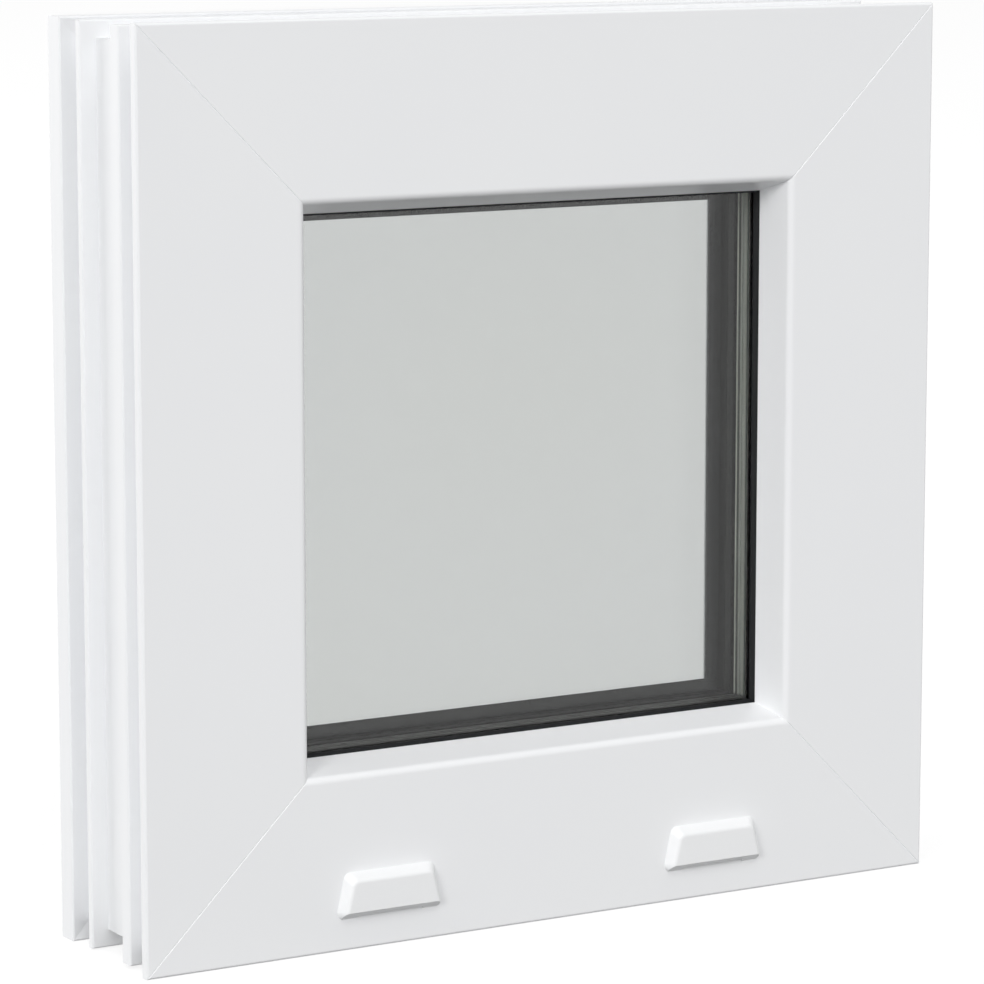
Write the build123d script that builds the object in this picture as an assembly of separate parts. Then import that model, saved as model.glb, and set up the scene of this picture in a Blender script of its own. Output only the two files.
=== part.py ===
from build123d import *
from math import sqrt
import os

# Basement window: a fixed light in a mitre-welded PVC-U frame with a triple-glazed unit.
# Millimetres. X runs along the sill, Y from the weather side to the room side, Z up.
# The origin is under the middle of the sill, on the floor, half-way through the whole depth.
# A profile is drawn as (depth, rise): depth is measured back from the weather face,
# and rise is measured inwards from the outer edge of the frame.

# Overall sizes
WINDOW_WIDTH = 400.0
WINDOW_HEIGHT = 400.0
FRAME_DEPTH = 85.0

# Weather side of the frame profile
FACE_WIDTH = 77.0
REVEAL_RISE = 6.0
LEG_DEPTH = 17.0
FACE_CORNER_RADIUS = 3.5
OUTER_CORNER_RADIUS = 1.2
LEG_TIP_RADIUS = 0.6

# Grooves and ribs along the outer edge
LIP_DEPTH = 5.0
GROOVE_RISE = 8.5
RIB_SETBACK = 14.0
RIB_DEPTH = 8.0
RIB_RECESS = 1.5
FIN_SETBACK = 28.0
FIN_DEPTH = 4.0
FIN_RECESS = 0.8
REAR_RIB_DEPTH = 12.0
REAR_RIB_UNDERCUT = 2.0
RIB_EDGE_RADIUS = 0.8

# Walls and chambers of the frame profile
FRAME_WALL = 2.8
WEB = 1.6
REAR_CHAMBER_DEPTH = 12.0
MIDDLE_CHAMBER_DEPTH = 7.0
WELD_GROOVE_WIDTH = 0.6

# Glazed unit
PANE_THICKNESS = 4.0
CAVITY_DEPTH = 10.0
PANE_ARRIS = 0.4
UNIT_CLEARANCE = 5.0
EDGE_SEAL_RISE = 5.0
SPACER_RISE = 6.9
SPACER_CORNER_RADIUS = 2.0
SPACER_SEAM = 0.8

# Rebate, seals and glazing beads
REBATE_RISE = 67.0
OUTER_SEAL_DEPTH = 3.0
BEAD_SEAL_DEPTH = 3.5
SEAL_LIP = 0.9
BEAD_SEAL_LIP = 1.4
SEAL_LIP_THICKNESS = 0.8
SEAL_LIP_RADIUS = 0.5
SEAL_HEEL = 7.5
SEAL_FOOT_WIDTH = 2.4
SEAL_FOOT_DEPTH = 2.6
SEAL_FOOT_CLEARANCE = 0.2
BEAD_NOSE = 1.0
BEAD_RISE = 20.6
BEAD_BACK_RISE = 1.5
BEAD_RECESS = 1.5
BEAD_WALL = 1.8
BEAD_HOOK_DEPTH = 2.6
BEAD_HOOK_RISE = 4.0
BEAD_HOOK_SETBACK = 5.0
BEAD_HOOK_CLEARANCE = 0.2

# Glazing blocks, set back from the corners of the unit
BLOCK_LENGTH = 60.0
BLOCK_SETBACK = 56.0
BLOCK_OVERHANG = 1.0

# Drain caps and drain slots of the sill, the caps set back from the ends of the sill
CAP_SETBACK = 116.5
CAP_SILL_RISE = 13.7
CAP_HEIGHT = 20.8
CAP_BOTTOM_WIDTH = 52.8
CAP_TOP_WIDTH = 43.6
CAP_CORNER_RADIUS = 3.5
CAP_BEVEL = 3.2
CAP_SIDE_BEVEL = 2.6
CAP_FOOT_TRIM = 0.3
CAP_UNDERSIDE_RISE = 3.4
CAP_PROUD = 4.5
CAP_WALL = 1.2
CAP_EDGE_RADIUS = 2.4
CAP_MOUTH_WIDTH = 32.0
CAP_MOUTH_DEPTH = 1.6
CAP_LEG_WIDTH = 4.0
CAP_LEG_REACH = 2.6
CAP_BARB = 0.8
DRAIN_SLOT_LENGTH = 28.0
DRAIN_SLOT_HEIGHT = 5.0
DRAIN_SLOT_CLEARANCE = 0.3
REBATE_SLOT_LENGTH = 26.0
REBATE_SLOT_DEPTH = 4.5
REBATE_SLOT_OFFSET = 15.0

# Places that follow from the sizes above
FRONT = (CAP_PROUD - FRAME_DEPTH) / 2
LEG_RISE = FACE_WIDTH + REVEAL_RISE
RIB_FRONT = LIP_DEPTH + RIB_SETBACK
RIB_BACK = RIB_FRONT + RIB_DEPTH
FIN_FRONT = RIB_BACK + FIN_SETBACK
FIN_BACK = FIN_FRONT + FIN_DEPTH
REAR_RIB_FRONT = FRAME_DEPTH - REAR_RIB_DEPTH
UNIT_FRONT = LEG_DEPTH + OUTER_SEAL_DEPTH
UNIT_DEPTH = 3 * PANE_THICKNESS + 2 * CAVITY_DEPTH
UNIT_BACK = UNIT_FRONT + UNIT_DEPTH
UNIT_RISE = REBATE_RISE + UNIT_CLEARANCE
BEAD_FRONT = UNIT_BACK + BEAD_SEAL_DEPTH
BEAD_BACK = FRAME_DEPTH - BEAD_RECESS
BEAD_TOP = REBATE_RISE + BEAD_RISE
HOOK_BACK = BEAD_BACK - BEAD_HOOK_SETBACK
HOOK_FRONT = HOOK_BACK - BEAD_HOOK_DEPTH
SEAL_TOP = LEG_RISE + SEAL_LIP
BEAD_SEAL_TOP = BEAD_TOP + BEAD_SEAL_LIP
SEAL_FOOT_RISE = LEG_RISE - SEAL_HEEL / 2
CAP_OFFSET = WINDOW_WIDTH / 2 - CAP_SETBACK
SLOT_MIDDLE = CAP_SILL_RISE + CAP_HEIGHT / 2

# Each side of the window: the turn from the sill about Y, its length and the span across
SIDES = {
    "sill": (0, WINDOW_WIDTH, WINDOW_HEIGHT),
    "left_jamb": (90, WINDOW_HEIGHT, WINDOW_WIDTH),
    "head": (180, WINDOW_WIDTH, WINDOW_HEIGHT),
    "right_jamb": (270, WINDOW_HEIGHT, WINDOW_WIDTH),
}


def band(front, back, low, high):
    """Rectangle of a profile between two depths and two rises."""
    middle = Pos((front + back) / 2, (low + high) / 2)
    return middle * Rectangle(back - front, high - low)


def rounded(profile, radius, *corners):
    """Round the corners of a profile that lie nearest to the given (depth, rise) places."""
    picked = [
        min(profile.vertices(), key=lambda v: (v.X - depth) ** 2 + (v.Y - rise) ** 2)
        for depth, rise in corners
    ]
    return fillet(picked, radius)


def mitred_bar(profile, length):
    """Straight bar of a profile along X, lying as the sill does, cut to 45 degrees at both ends."""
    bar = extrude(Plane.YZ * Pos(FRONT, 0) * profile, length / 2, both=True)
    half = length / 2
    mitres = Polygon((-half, 0), (half, 0), (0, half), align=None)
    return bar & extrude(Plane.XZ * mitres, FRAME_DEPTH, both=True)


def on_side(shape, turn, span):
    """Turn a shape that lies at the sill about the middle of the window to another side."""
    return Pos(0, 0, WINDOW_HEIGHT / 2) * Rot(0, turn, 0) * Pos(0, 0, -span / 2) * shape


def sheet(rise, front, depth, corner_radius=0):
    """Upright sheet whose four edges lie at the same rise inside the frame."""
    width = WINDOW_WIDTH - 2 * rise
    height = WINDOW_HEIGHT - 2 * rise
    outline = Rectangle(width, height)
    if corner_radius:
        outline = RectangleRounded(width, height, corner_radius)
    middle = Plane((0, FRONT + front, WINDOW_HEIGHT / 2), x_dir=(1, 0, 0), z_dir=(0, -1, 0))
    return extrude(middle * outline, -depth)


def frame_outline():
    """Outside of the frame profile: face, sloped leg, rebate, back, and grooves along the outer edge."""
    leg = Polygon(
        (0, REBATE_RISE),
        (0, FACE_WIDTH),
        (LEG_DEPTH, LEG_RISE),
        (LEG_DEPTH, REBATE_RISE),
        align=None,
    )
    rear_groove = Polygon(
        (FIN_BACK, 0),
        (REAR_RIB_FRONT, 0),
        (REAR_RIB_FRONT + REAR_RIB_UNDERCUT, GROOVE_RISE),
        (FIN_BACK, GROOVE_RISE),
        align=None,
    )
    profile = band(0, FRAME_DEPTH, 0, REBATE_RISE) + leg
    profile -= band(LIP_DEPTH, RIB_FRONT, 0, GROOVE_RISE)
    profile -= band(RIB_FRONT, RIB_BACK, 0, RIB_RECESS)
    profile -= band(RIB_BACK, FIN_FRONT, 0, GROOVE_RISE)
    profile -= band(FIN_FRONT, FIN_BACK, 0, FIN_RECESS)
    profile -= rear_groove
    profile = rounded(profile, FACE_CORNER_RADIUS, (0, FACE_WIDTH))
    profile = rounded(profile, OUTER_CORNER_RADIUS, (0, 0), (FRAME_DEPTH, 0), (FRAME_DEPTH, REBATE_RISE))
    profile = rounded(profile, LEG_TIP_RADIUS, (LEG_DEPTH, LEG_RISE))
    rib_edges = [(RIB_FRONT, RIB_RECESS), (RIB_BACK, RIB_RECESS)]
    fin_edges = [(FIN_FRONT, FIN_RECESS), (FIN_BACK, FIN_RECESS)]
    return rounded(profile, RIB_EDGE_RADIUS, (LIP_DEPTH, 0), (REAR_RIB_FRONT, 0), *rib_edges, *fin_edges)


def seal_foot(face, clearance=0.0):
    """Foot of a seal, or its groove when given a clearance, reaching away from the glass at a face."""
    half = SEAL_FOOT_WIDTH / 2 + clearance
    reach = SEAL_FOOT_DEPTH + clearance
    back = face - reach if face < UNIT_FRONT else face + reach
    return band(min(face, back), max(face, back), SEAL_FOOT_RISE - half, SEAL_FOOT_RISE + half)


def bead_hook(clearance=0.0):
    """Hook that holds a bead in the rebate floor, or its groove when given a clearance."""
    low = REBATE_RISE - BEAD_HOOK_RISE - clearance
    return band(HOOK_FRONT - clearance, HOOK_BACK + clearance, low, REBATE_RISE)


def frame_chambers():
    """Hollow chambers between the walls and webs of the frame profile."""
    low = GROOVE_RISE + FRAME_WALL
    high = REBATE_RISE - FRAME_WALL
    rear = FRAME_DEPTH - FRAME_WALL
    rear_front = rear - REAR_CHAMBER_DEPTH
    middle_back = rear_front - WEB
    middle_front = middle_back - MIDDLE_CHAMBER_DEPTH
    chambers = band(FRAME_WALL, RIB_BACK - WEB, low, high)
    chambers += band(RIB_BACK, middle_front - WEB, low, high)
    chambers += band(middle_front, middle_back, low, high)
    chambers += band(rear_front, rear, low, high)
    chambers += band(RIB_FRONT + WEB, RIB_BACK - WEB, RIB_RECESS + WEB, low)
    rear_rib_front = REAR_RIB_FRONT + REAR_RIB_UNDERCUT + WEB
    chambers += band(rear_rib_front, rear, FRAME_WALL, low - WEB)
    leg_back = LEG_DEPTH - FRAME_WALL
    leg_high = SEAL_FOOT_RISE - SEAL_FOOT_WIDTH / 2 - WEB
    chambers += band(FRAME_WALL, leg_back, high + WEB, leg_high)
    hook_low = REBATE_RISE - BEAD_HOOK_RISE - FRAME_WALL
    return chambers - band(HOOK_FRONT - FRAME_WALL, rear, hook_low, high)


def frame_profile():
    """Whole frame profile with its chambers, seal groove and bead groove."""
    profile = frame_outline() - frame_chambers()
    return profile - seal_foot(LEG_DEPTH, SEAL_FOOT_CLEARANCE) - bead_hook(BEAD_HOOK_CLEARANCE)


def weld_grooves(length):
    """Shallow V grooves along the welded mitres on the weather face and the room face of one bar."""
    grooves = []
    for depth, rise in ((0, FACE_WIDTH), (FRAME_DEPTH, REBATE_RISE)):
        run = Box(rise * sqrt(2), WELD_GROOVE_WIDTH / sqrt(2), WELD_GROOVE_WIDTH / sqrt(2))
        for end in (-1, 1):
            middle = Pos(end * (length - rise) / 2, FRONT + depth, rise / 2)
            grooves.append(middle * Rot(0, end * 45, 0) * Rot(45, 0, 0) * run)
    return grooves


def drain_slots():
    """Slots behind the drain caps, and slots that let water from the rebate into the front chamber."""
    slots = []
    for side in (-1, 1):
        outlet = Box(DRAIN_SLOT_LENGTH, 2 * FRAME_WALL, DRAIN_SLOT_HEIGHT)
        slots.append(Pos(side * CAP_OFFSET, FRONT, SLOT_MIDDLE) * outlet)
        inlet = Box(REBATE_SLOT_LENGTH, REBATE_SLOT_DEPTH, 2 * FRAME_WALL)
        inlet_depth = FRONT + UNIT_FRONT + REBATE_SLOT_DEPTH / 2
        slots.append(Pos(side * REBATE_SLOT_OFFSET, inlet_depth, REBATE_RISE) * inlet)
    return slots


def outer_seal_profile():
    """Rubber seal between the leg and the outer pane, with a lip that slopes to the glass."""
    body = Polygon(
        (LEG_DEPTH, LEG_RISE - SEAL_HEEL),
        (LEG_DEPTH, LEG_RISE - LEG_TIP_RADIUS),
        (UNIT_FRONT - SEAL_LIP_THICKNESS, SEAL_TOP),
        (UNIT_FRONT, SEAL_TOP),
        (UNIT_FRONT, LEG_RISE - SEAL_HEEL),
        align=None,
    )
    body = rounded(body, SEAL_LIP_RADIUS, (UNIT_FRONT - SEAL_LIP_THICKNESS, SEAL_TOP))
    return body + seal_foot(LEG_DEPTH)


def bead_seal_profile():
    """Rubber seal between the inner pane and a bead, with a lip that stands above the bead."""
    body = Polygon(
        (BEAD_FRONT, LEG_RISE - SEAL_HEEL),
        (BEAD_FRONT, BEAD_TOP),
        (UNIT_BACK + SEAL_LIP_THICKNESS, BEAD_SEAL_TOP),
        (UNIT_BACK, BEAD_SEAL_TOP),
        (UNIT_BACK, LEG_RISE - SEAL_HEEL),
        align=None,
    )
    body = rounded(body, SEAL_LIP_RADIUS, (UNIT_BACK + SEAL_LIP_THICKNESS, BEAD_SEAL_TOP))
    return body + seal_foot(BEAD_FRONT)


def bead_profile():
    """Chamfered hollow glazing bead with its hook and seal groove."""
    outline = Polygon(
        (BEAD_FRONT, REBATE_RISE),
        (BEAD_FRONT, BEAD_TOP),
        (BEAD_FRONT + BEAD_NOSE, BEAD_TOP),
        (BEAD_BACK, REBATE_RISE + BEAD_BACK_RISE),
        (BEAD_BACK, REBATE_RISE),
        align=None,
    )
    groove_wall = BEAD_FRONT + SEAL_FOOT_DEPTH + BEAD_WALL
    hollow = offset(outline, -BEAD_WALL, kind=Kind.INTERSECTION)
    hollow -= band(BEAD_FRONT, groove_wall, REBATE_RISE, BEAD_TOP)
    return outline - hollow - seal_foot(BEAD_FRONT, SEAL_FOOT_CLEARANCE) + bead_hook()


def pane(front):
    """One sheet of float glass with arrised edges."""
    glass = sheet(UNIT_RISE, front, PANE_THICKNESS)
    return chamfer(glass.edges(), PANE_ARRIS)


def edge_seal(front):
    """Sealant that runs round the edge of the unit, outside a spacer."""
    outside = sheet(UNIT_RISE, front, CAVITY_DEPTH)
    return outside - sheet(UNIT_RISE + EDGE_SEAL_RISE, front, CAVITY_DEPTH, SPACER_CORNER_RADIUS)


def spacer(front):
    """Spacer bar bent into one loop between two panes, with a seam along its inner face."""
    outer_rise = UNIT_RISE + EDGE_SEAL_RISE
    inner_rise = outer_rise + SPACER_RISE
    seam_front = front + (CAVITY_DEPTH - SPACER_SEAM) / 2
    loop = sheet(outer_rise, front, CAVITY_DEPTH, SPACER_CORNER_RADIUS)
    loop -= sheet(inner_rise, front, CAVITY_DEPTH)
    return loop - sheet(inner_rise - SPACER_SEAM / 2, seam_front, SPACER_SEAM)


def glazing_block(side, length):
    """Block that holds the edge of the unit off the rebate floor, on one half of a bar laid as the sill."""
    place = length / 2 - UNIT_RISE - BLOCK_SETBACK
    width = UNIT_DEPTH + 2 * BLOCK_OVERHANG
    middle = FRONT + (UNIT_FRONT + UNIT_BACK) / 2
    block = Box(BLOCK_LENGTH, width, UNIT_CLEARANCE)
    return Pos(side * place, middle, REBATE_RISE + UNIT_CLEARANCE / 2) * block


def cap_outline(inset, bevel, side_bevel):
    """Outline of a drain cap: a trapezium with round corners, smaller by an inset and the bevels."""
    low = CAP_SILL_RISE + inset
    high = CAP_SILL_RISE + CAP_HEIGHT - inset - bevel
    bottom = CAP_BOTTOM_WIDTH / 2 - inset - side_bevel
    top = CAP_TOP_WIDTH / 2 - inset - side_bevel
    outline = Polygon((-bottom, low), (bottom, low), (top, high), (-top, high), align=None)
    return fillet(outline.vertices(), CAP_CORNER_RADIUS - inset)


def cap_hood(inset, proud):
    """Bevelled hood that widens towards the face of the sill, smaller all round by an inset."""
    base = Plane((0, FRONT, 0), x_dir=(1, 0, 0), z_dir=(0, -1, 0))
    foot = base * cap_outline(inset, 0, 0)
    crown = base.offset(proud) * cap_outline(inset, CAP_BEVEL, CAP_SIDE_BEVEL)
    return loft([foot, crown], ruled=True)


def under_cap(rise):
    """Space below the sloped underside of a drain cap, which starts at a rise above its foot."""
    low = CAP_SILL_RISE + rise
    reach = 2 * CAP_PROUD
    high = low + 2 * CAP_UNDERSIDE_RISE
    slope = Polygon((0, 0), (0, low), (-reach, high), (-reach, 0), align=None)
    return extrude(Plane.YZ * Pos(FRONT, 0) * slope, CAP_BOTTOM_WIDTH / 2, both=True)


def cap_leg(side):
    """Snap leg of a drain cap, through one end of its slot, with a barb behind the wall."""
    half = DRAIN_SLOT_HEIGHT / 2 - DRAIN_SLOT_CLEARANCE
    start = CAP_WALL - CAP_PROUD
    catch = FRAME_WALL + DRAIN_SLOT_CLEARANCE
    tip = catch + CAP_LEG_REACH
    hook = Polygon(
        (start, -half),
        (start, half),
        (catch, half),
        (catch, half + CAP_BARB),
        (tip, 0),
        (tip, -half),
        align=None,
    )
    leg = extrude(Plane.YZ * Pos(FRONT, SLOT_MIDDLE) * hook, CAP_LEG_WIDTH / 2, both=True)
    return Pos(side * (DRAIN_SLOT_LENGTH / 2 - DRAIN_SLOT_CLEARANCE - CAP_LEG_WIDTH / 2), 0, 0) * leg


def drain_cap():
    """Drain cap: a soft-edged hollow hood on two snap legs, with a mouth along its sloped underside."""
    hood = cap_hood(0, CAP_PROUD)
    crown = hood.faces().sort_by(Axis.Y)[0]
    hood = fillet(crown.edges(), CAP_EDGE_RADIUS) - under_cap(CAP_FOOT_TRIM)
    hollow = cap_hood(CAP_WALL, CAP_PROUD - CAP_WALL) - under_cap(CAP_FOOT_TRIM + CAP_WALL)
    mouth = Box(CAP_MOUTH_WIDTH, 2 * CAP_MOUTH_DEPTH, 2 * (CAP_WALL + CAP_UNDERSIDE_RISE))
    hood = hood - hollow - Pos(0, FRONT, CAP_SILL_RISE) * mouth
    return hood + cap_leg(-1) + cap_leg(1)


def build_nodes():
    """All pieces of the window, by name."""
    nodes = {}
    for name, (turn, length, span) in SIDES.items():
        bar = mitred_bar(frame_profile(), length) - weld_grooves(length)
        if name == "sill":
            bar -= drain_slots()
        nodes[f"frame_{name}"] = on_side(bar, turn, span)
        nodes[f"outer_seal_{name}"] = on_side(mitred_bar(outer_seal_profile(), length), turn, span)
        nodes[f"bead_{name}"] = on_side(mitred_bar(bead_profile(), length), turn, span)
        nodes[f"bead_seal_{name}"] = on_side(mitred_bar(bead_seal_profile(), length), turn, span)
        for end, side in (("a", -1), ("b", 1)):
            nodes[f"glazing_block_{name}_{end}"] = on_side(glazing_block(side, length), turn, span)
    pitch = PANE_THICKNESS + CAVITY_DEPTH
    for place, name in enumerate(("outer", "middle", "inner")):
        nodes[f"{name}_pane"] = pane(UNIT_FRONT + place * pitch)
    for place, name in enumerate(("outer", "inner")):
        front = UNIT_FRONT + PANE_THICKNESS + place * pitch
        nodes[f"{name}_spacer"] = spacer(front)
        nodes[f"{name}_edge_seal"] = edge_seal(front)
    for name, side in (("left", -1), ("right", 1)):
        nodes[f"drain_cap_{name}"] = Pos(side * CAP_OFFSET, 0, 0) * drain_cap()
    return nodes


os.makedirs("parts", exist_ok=True)
for node_name, solid in build_nodes().items():
    export_step(solid, f"parts/{node_name}.step")
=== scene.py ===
from math import cos, pi, radians, sin

import bpy
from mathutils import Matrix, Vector

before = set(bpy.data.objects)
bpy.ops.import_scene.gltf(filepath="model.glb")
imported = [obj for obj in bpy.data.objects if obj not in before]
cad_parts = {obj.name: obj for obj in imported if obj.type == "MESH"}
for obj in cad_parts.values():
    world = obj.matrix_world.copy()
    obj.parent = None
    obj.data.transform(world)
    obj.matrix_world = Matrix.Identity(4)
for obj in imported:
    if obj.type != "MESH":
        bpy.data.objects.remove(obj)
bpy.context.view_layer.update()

MM = 0.001

# Camera of the photograph: outside, to the left and a little above the window
CAMERA_PLACE = (-0.95, -1.6, 0.48)
CAMERA_TURN = radians(30.48)
CAMERA_DIP = radians(8.97)
CAMERA_LENS = 155.0

# Studio
FLOOR_SIZE = 60.0
FLOOR_TONE = 0.25
FLOOR_GLOW = 0.82
SKY_LIGHT = 0.48
HORIZON_LIGHT = 1.07
GROUND_LIGHT = 0.02
SKY_EDGE = sin(radians(30))
GROUND_EDGE = sin(radians(-31))
LAMP_DISTANCE = 12.0
AIM = Vector((0.0, 0.0, 0.2))

# Softboxes: turn from straight in front, rise, edge in metres, watts
SOFTBOXES = {
    "left_softbox": (radians(-55), radians(22), 3.2, 425.0),
    "front_softbox": (radians(-12), radians(46), 6.0, 392.0),
    "back_softbox": (radians(-140), radians(14), 6.0, 405.0),
}

SIDES = ("sill", "left_jamb", "head", "right_jamb")

# Painted light across a spacer bar, at offsets in millimetres from its middle, from the weather side to the
# room side: painted highlights, a painted lit face and painted shade; the inner bar is a painted shaded copy
# of the outer one
# Painted highlight, painted lit face, painted shade, deeper painted shade and a painted highlight line for
# the spacer bars
SPACER_PAINTED_HIGHLIGHT = "#d0d3c6"
SPACER_PAINTED_LIT_FACE = "#aeb2a8"
SPACER_PAINTED_SHADE = "#4a4d47"
SPACER_PAINTED_DEEP_SHADE = "#080909"
SPACER_PAINTED_LINE_HIGHLIGHT = "#3a3e3a"
SPACER_WIDTH = 10 * MM
SPACER_RISE = 6.9 * MM
SPACER_PAINTED_LIGHT = {
    "outer_spacer": [
        (-5.0, SPACER_PAINTED_HIGHLIGHT),
        (-4.6, SPACER_PAINTED_SHADE), (-3.4, SPACER_PAINTED_SHADE),
        (-2.9, SPACER_PAINTED_LIT_FACE), (-2.2, SPACER_PAINTED_LIT_FACE),
        (-1.8, SPACER_PAINTED_HIGHLIGHT),
        (-1.4, SPACER_PAINTED_LIT_FACE), (1.6, SPACER_PAINTED_LIT_FACE),
        (2.2, SPACER_PAINTED_SHADE), (3.5, SPACER_PAINTED_SHADE),
        (4.0, SPACER_PAINTED_HIGHLIGHT), (4.6, SPACER_PAINTED_HIGHLIGHT),
        (5.0, SPACER_PAINTED_SHADE),
    ],
    "inner_spacer": [
        (-5.0, SPACER_PAINTED_DEEP_SHADE), (-0.6, SPACER_PAINTED_DEEP_SHADE),
        (0.0, SPACER_PAINTED_LINE_HIGHLIGHT),
        (0.6, SPACER_PAINTED_DEEP_SHADE), (5.0, SPACER_PAINTED_DEEP_SHADE),
    ],
}


def linear(code):
    """Linear colour of an sRGB hex code."""
    channels = [int(code[place:place + 2], 16) / 255 for place in (1, 3, 5)]
    return [c / 12.92 if c <= 0.04045 else ((c + 0.055) / 1.055) ** 2.4 for c in channels] + [1.0]


def add(tree, kind, sockets=None, **settings):
    """Add a node with its settings, and set or link its input sockets by name or number."""
    node = tree.nodes.new(kind)
    for name, value in settings.items():
        setattr(node, name, value)
    for name, value in (sockets or {}).items():
        if isinstance(value, bpy.types.NodeSocket):
            tree.links.new(value, node.inputs[name])
        else:
            node.inputs[name].default_value = value
    return node


def new_material(name):
    """Empty node material with its output and a Principled shader."""
    material = bpy.data.materials.new(name)
    material.use_nodes = True
    tree = material.node_tree
    tree.nodes.clear()
    shader = add(tree, "ShaderNodeBsdfPrincipled")
    add(tree, "ShaderNodeOutputMaterial", {"Surface": shader.outputs[0]})
    return material, tree, shader


def link(tree, shader, sockets):
    """Set or link more sockets of a shader."""
    for name, value in sockets.items():
        if isinstance(value, bpy.types.NodeSocket):
            tree.links.new(value, shader.inputs[name])
        else:
            shader.inputs[name].default_value = value


def extruded_pvc(name, run):
    """White PVC-U out of an extrusion die: an even satin skin with very faint draw lines along the bar."""
    material, tree, shader = new_material(name)
    draw_line = 2.5 * MM
    draw_length = 240 * MM
    cloud = 70 * MM
    stretch = [1 / draw_line] * 3
    stretch[run] = 1 / draw_length
    place = add(tree, "ShaderNodeTexCoord").outputs["Object"]
    along = add(tree, "ShaderNodeMapping", {"Vector": place, "Scale": stretch}).outputs[0]
    lines = add(tree, "ShaderNodeTexNoise", {"Vector": along, "Scale": 1.0, "Detail": 3.0}).outputs[0]
    clouds = add(tree, "ShaderNodeTexNoise", {"Vector": place, "Scale": 1 / cloud, "Detail": 2.0}).outputs[0]
    tone = add(tree, "ShaderNodeMix", {"Factor": clouds, "A": linear("#f2f3f5"), "B": linear("#f4f5f6")},
               data_type="RGBA")
    gloss = add(tree, "ShaderNodeMapRange", {"Value": lines, "To Min": 0.30, "To Max": 0.42}).outputs[0]
    bump = add(tree, "ShaderNodeBump", {"Height": lines, "Strength": 0.04, "Distance": 0.05 * MM}).outputs[0]
    link(tree, shader, {"Base Color": tone.outputs["Result"], "Roughness": gloss,
                        "IOR": 1.53, "Normal": bump})
    return material


def moulded_cap():
    """White plastic from a spark-eroded mould: a fine even grain that dulls the gloss."""
    material, tree, shader = new_material("moulded_white_plastic")
    grain = 0.6 * MM
    place = add(tree, "ShaderNodeTexCoord").outputs["Object"]
    grains = add(tree, "ShaderNodeTexNoise", {"Vector": place, "Scale": 1 / grain, "Detail": 2.0}).outputs[0]
    tone = add(tree, "ShaderNodeMix", {"Factor": grains, "A": linear("#f2f3f4"), "B": linear("#f5f6f7")},
               data_type="RGBA")
    bump = add(tree, "ShaderNodeBump", {"Height": grains, "Strength": 0.08, "Distance": 0.04 * MM}).outputs[0]
    link(tree, shader, {"Base Color": tone.outputs["Result"], "Roughness": 0.38, "IOR": 1.5, "Normal": bump})
    return material


def seal_rubber():
    """Black extruded rubber: nearly matt, with a dusty bloom in fine grains."""
    material, tree, shader = new_material("extruded_black_rubber")
    grain = 0.5 * MM
    place = add(tree, "ShaderNodeTexCoord").outputs["Object"]
    grains = add(tree, "ShaderNodeTexNoise", {"Vector": place, "Scale": 1 / grain, "Detail": 3.0}).outputs[0]
    tone = add(tree, "ShaderNodeMix", {"Factor": grains, "A": linear("#1b1c1d"), "B": linear("#222325")},
               data_type="RGBA")
    bump = add(tree, "ShaderNodeBump", {"Height": grains, "Strength": 0.06, "Distance": 0.05 * MM}).outputs[0]
    link(tree, shader, {"Base Color": tone.outputs["Result"], "Roughness": 0.6,
                        "Specular IOR Level": 0.2, "Normal": bump})
    return material


def float_glass():
    """Coated float glass: polished, grey-green, with a low index that keeps its reflections faint."""
    material, tree, shader = new_material("coated_float_glass")
    wave = 160 * MM
    place = add(tree, "ShaderNodeTexCoord").outputs["Object"]
    waves = add(tree, "ShaderNodeTexNoise", {"Vector": place, "Scale": 1 / wave, "Detail": 0.0}).outputs[0]
    tint = add(tree, "ShaderNodeMix", {"Factor": waves, "A": linear("#eaebea"), "B": linear("#eaebeb")},
               data_type="RGBA")
    link(tree, shader, {"Base Color": tint.outputs["Result"], "Roughness": 0.0, "IOR": 1.39,
                        "Transmission Weight": 1.0})
    return material


def middle_depth(name):
    """Half-way depth of a CAD node along Y."""
    depths = [corner[1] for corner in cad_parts[name].bound_box]
    return (min(depths) + max(depths)) / 2


def lower_run_top(name):
    """Height of the inner face of a spacer's lower run."""
    lowest = min(corner[2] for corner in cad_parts[name].bound_box)
    return lowest + SPACER_RISE


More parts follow.
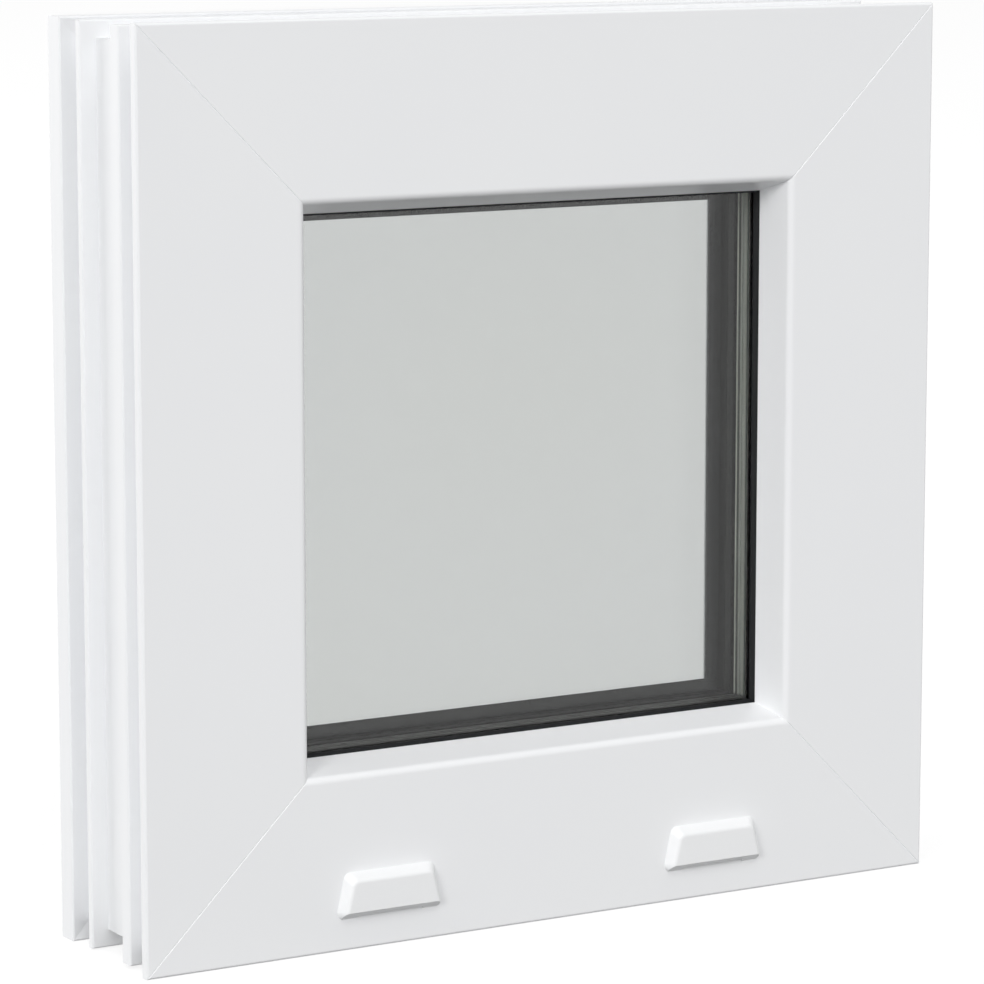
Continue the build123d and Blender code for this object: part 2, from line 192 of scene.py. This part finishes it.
def spacer_bar(name, middle, painted_shade_top, painted_light_stops):
    """Satin plastic spacer bar with painted light: painted highlights, a painted lit face and painted shade
    in bands along the bar, and painted shade on its lower run.
    """
    material, tree, shader = new_material(name)
    half = SPACER_WIDTH / 2
    ripple = 3 * MM
    waver = 0.25 * MM
    painted_shade_edge = 1.5 * MM
    painted_shade_tone = 0.15
    place = add(tree, "ShaderNodeTexCoord").outputs["Object"]
    ripple_map = {"Vector": place, "Scale": 1 / ripple, "Detail": 1.0}
    ripples = add(tree, "ShaderNodeTexNoise", ripple_map).outputs[0]
    axes = add(tree, "ShaderNodeSeparateXYZ", {"Vector": place}).outputs
    wavered = {0: ripples, 1: waver, 2: axes["Y"]}
    across = add(tree, "ShaderNodeMath", wavered, operation="MULTIPLY_ADD").outputs[0]
    span = {"Value": across, "From Min": middle - half, "From Max": middle + half}
    share = add(tree, "ShaderNodeMapRange", span).outputs[0]
    ramp = add(tree, "ShaderNodeValToRGB", {"Fac": share})
    bands = ramp.color_ramp.elements
    while len(bands) < len(painted_light_stops):
        bands.new(1.0)
    for stop, (offset, code) in zip(bands, painted_light_stops):
        stop.position = (offset * MM + half) / SPACER_WIDTH
        stop.color = linear(code)
    # Painted shade: the colour is scaled down to 0.15 below the top of the lower run, fading over 1.5 mm
    # above it
    painted_shade_range = {"Value": axes["Z"], "From Min": painted_shade_top, "From Max": painted_shade_top + painted_shade_edge, "To Min": painted_shade_tone}
    painted_shade_scaled = {0: ramp.outputs[0], "Scale": add(tree, "ShaderNodeMapRange", painted_shade_range).outputs[0]}
    tone = add(tree, "ShaderNodeVectorMath", painted_shade_scaled, operation="SCALE").outputs[0]
    link(tree, shader, {"Base Color": tone, "Roughness": 0.45, "Specular IOR Level": 0.2})
    return material


def edge_sealant():
    """Two-part sealant, tooled by hand: black and slightly uneven."""
    material, tree, shader = new_material("black_edge_sealant")
    ripple = 6 * MM
    place = add(tree, "ShaderNodeTexCoord").outputs["Object"]
    ripple_map = {"Vector": place, "Scale": 1 / ripple, "Detail": 2.0}
    ripples = add(tree, "ShaderNodeTexNoise", ripple_map).outputs[0]
    tone = add(tree, "ShaderNodeMix", {"Factor": ripples, "A": linear("#171717"), "B": linear("#222222")},
               data_type="RGBA")
    bump = add(tree, "ShaderNodeBump", {"Height": ripples, "Strength": 0.3, "Distance": 0.3 * MM}).outputs[0]
    link(tree, shader, {"Base Color": tone.outputs["Result"], "Roughness": 0.6, "Normal": bump})
    return material


def block_plastic():
    """Blue moulded glazing block with a fine mottle."""
    material, tree, shader = new_material("blue_moulded_block")
    grain = 1.2 * MM
    place = add(tree, "ShaderNodeTexCoord").outputs["Object"]
    grains = add(tree, "ShaderNodeTexNoise", {"Vector": place, "Scale": 1 / grain}).outputs[0]
    tone = add(tree, "ShaderNodeMix", {"Factor": grains, "A": linear("#3a6ea5"), "B": linear("#4378b0")},
               data_type="RGBA")
    link(tree, shader, {"Base Color": tone.outputs["Result"], "Roughness": 0.45})
    return material


def dress(names, material):
    """Give CAD nodes one material."""
    for name in names:
        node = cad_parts[name]
        node.data.materials.clear()
        node.data.materials.append(material)


def seen_directly(tree):
    """1 for rays from the camera, a reflection or through glass, and 0 for scattered light."""
    path = add(tree, "ShaderNodeLightPath").outputs
    either = {0: path["Is Camera Ray"], 1: path["Is Glossy Ray"]}
    mirrored = add(tree, "ShaderNodeMath", either, operation="MAXIMUM")
    through = {0: mirrored.outputs[0], 1: path["Is Transmission Ray"]}
    return add(tree, "ShaderNodeMath", through, operation="MAXIMUM").outputs[0]


def make_floor():
    """White studio floor that shows and keeps a soft shadow, but lets the light of the studio through."""
    bpy.ops.mesh.primitive_plane_add(size=FLOOR_SIZE)
    floor = bpy.context.object
    floor.name = "studio_floor"
    material = bpy.data.materials.new("pale_floor")
    material.use_nodes = True
    tree = material.node_tree
    tree.nodes.clear()
    bounce = add(tree, "ShaderNodeBsdfDiffuse", {"Color": [FLOOR_TONE] * 3 + [1]})
    glow = add(tree, "ShaderNodeEmission", {"Color": [1, 1, 1, 1], "Strength": FLOOR_GLOW})
    white = add(tree, "ShaderNodeAddShader", {0: bounce.outputs[0], 1: glow.outputs[0]})
    clear = add(tree, "ShaderNodeBsdfTransparent")
    shown = {0: seen_directly(tree), 1: clear.outputs[0], 2: white.outputs[0]}
    surface = add(tree, "ShaderNodeMixShader", shown).outputs[0]
    add(tree, "ShaderNodeOutputMaterial", {"Surface": surface})
    floor.data.materials.append(material)


def make_sky():
    """White studio that is brightest round the horizon and dim below, and shows as plain white."""
    world = bpy.data.worlds.new("studio")
    bpy.context.scene.world = world
    world.use_nodes = True
    tree = world.node_tree
    tree.nodes.clear()
    way = add(tree, "ShaderNodeTexCoord").outputs["Generated"]
    rise = add(tree, "ShaderNodeSeparateXYZ", {"Vector": way}).outputs["Z"]
    above = {"Value": rise, "From Min": 0.0, "From Max": SKY_EDGE,
             "To Min": HORIZON_LIGHT, "To Max": SKY_LIGHT}
    below = {"Value": rise, "From Min": GROUND_EDGE, "From Max": 0.0,
             "To Min": GROUND_LIGHT, "To Max": HORIZON_LIGHT}
    over = add(tree, "ShaderNodeMapRange", above).outputs[0]
    under = add(tree, "ShaderNodeMapRange", below).outputs[0]
    light = add(tree, "ShaderNodeMath", {0: over, 1: under}, operation="MINIMUM").outputs[0]
    strength = add(tree, "ShaderNodeMapRange", {"Value": seen_directly(tree), "To Min": light, "To Max": 1.0})
    sky = add(tree, "ShaderNodeBackground", {"Color": [1, 1, 1, 1], "Strength": strength.outputs[0]})
    add(tree, "ShaderNodeOutputWorld", {"Surface": sky.outputs[0]})


def make_softbox(name, turn, rise, size, power):
    """Far softbox turned to the middle of the window."""
    lamp = bpy.data.lights.new(name, "AREA")
    lamp.size = size
    lamp.energy = power
    box = bpy.data.objects.new(name, lamp)
    bpy.context.scene.collection.objects.link(box)
    away = Vector((sin(turn) * cos(rise), -cos(turn) * cos(rise), sin(rise)))
    box.location = AIM + away * LAMP_DISTANCE
    box.rotation_euler = (-away).to_track_quat("-Z", "Y").to_euler()


def make_camera():
    """Camera at the photograph's viewing angle."""
    lens = bpy.data.cameras.new("photo_camera")
    lens.lens = CAMERA_LENS
    camera = bpy.data.objects.new("photo_camera", lens)
    bpy.context.scene.collection.objects.link(camera)
    camera.location = CAMERA_PLACE
    camera.rotation_euler = (pi / 2 - CAMERA_DIP, 0, -CAMERA_TURN)
    bpy.context.scene.camera = camera


pvc_along_x = extruded_pvc("extruded_white_pvc_x", 0)
pvc_along_z = extruded_pvc("extruded_white_pvc_z", 2)
dress([f"{piece}_{side}" for piece in ("frame", "bead") for side in ("sill", "head")], pvc_along_x)
dress([f"{piece}_{side}_jamb" for piece in ("frame", "bead") for side in ("left", "right")], pvc_along_z)
dress([f"{piece}_{side}" for piece in ("outer_seal", "bead_seal") for side in SIDES], seal_rubber())
dress([f"{place}_pane" for place in ("outer", "middle", "inner")], float_glass())
# Each spacer gets painted highlights and painted shade across the bar, and painted shade on its lower run
for node_name, painted_light_stops in SPACER_PAINTED_LIGHT.items():
    depth, painted_shade_top = middle_depth(node_name), lower_run_top(node_name)
    dress([node_name], spacer_bar(f"satin_plastic_{node_name}", depth, painted_shade_top, painted_light_stops))
dress(["outer_edge_seal", "inner_edge_seal"], edge_sealant())
dress([f"glazing_block_{side}_{end}" for side in SIDES for end in "ab"], block_plastic())
dress(["drain_cap_left", "drain_cap_right"], moulded_cap())

make_floor()
make_sky()
for box_name, setting in SOFTBOXES.items():
    make_softbox(box_name, *setting)
make_camera()
bpy.context.scene.view_settings.view_transform = "Standard"
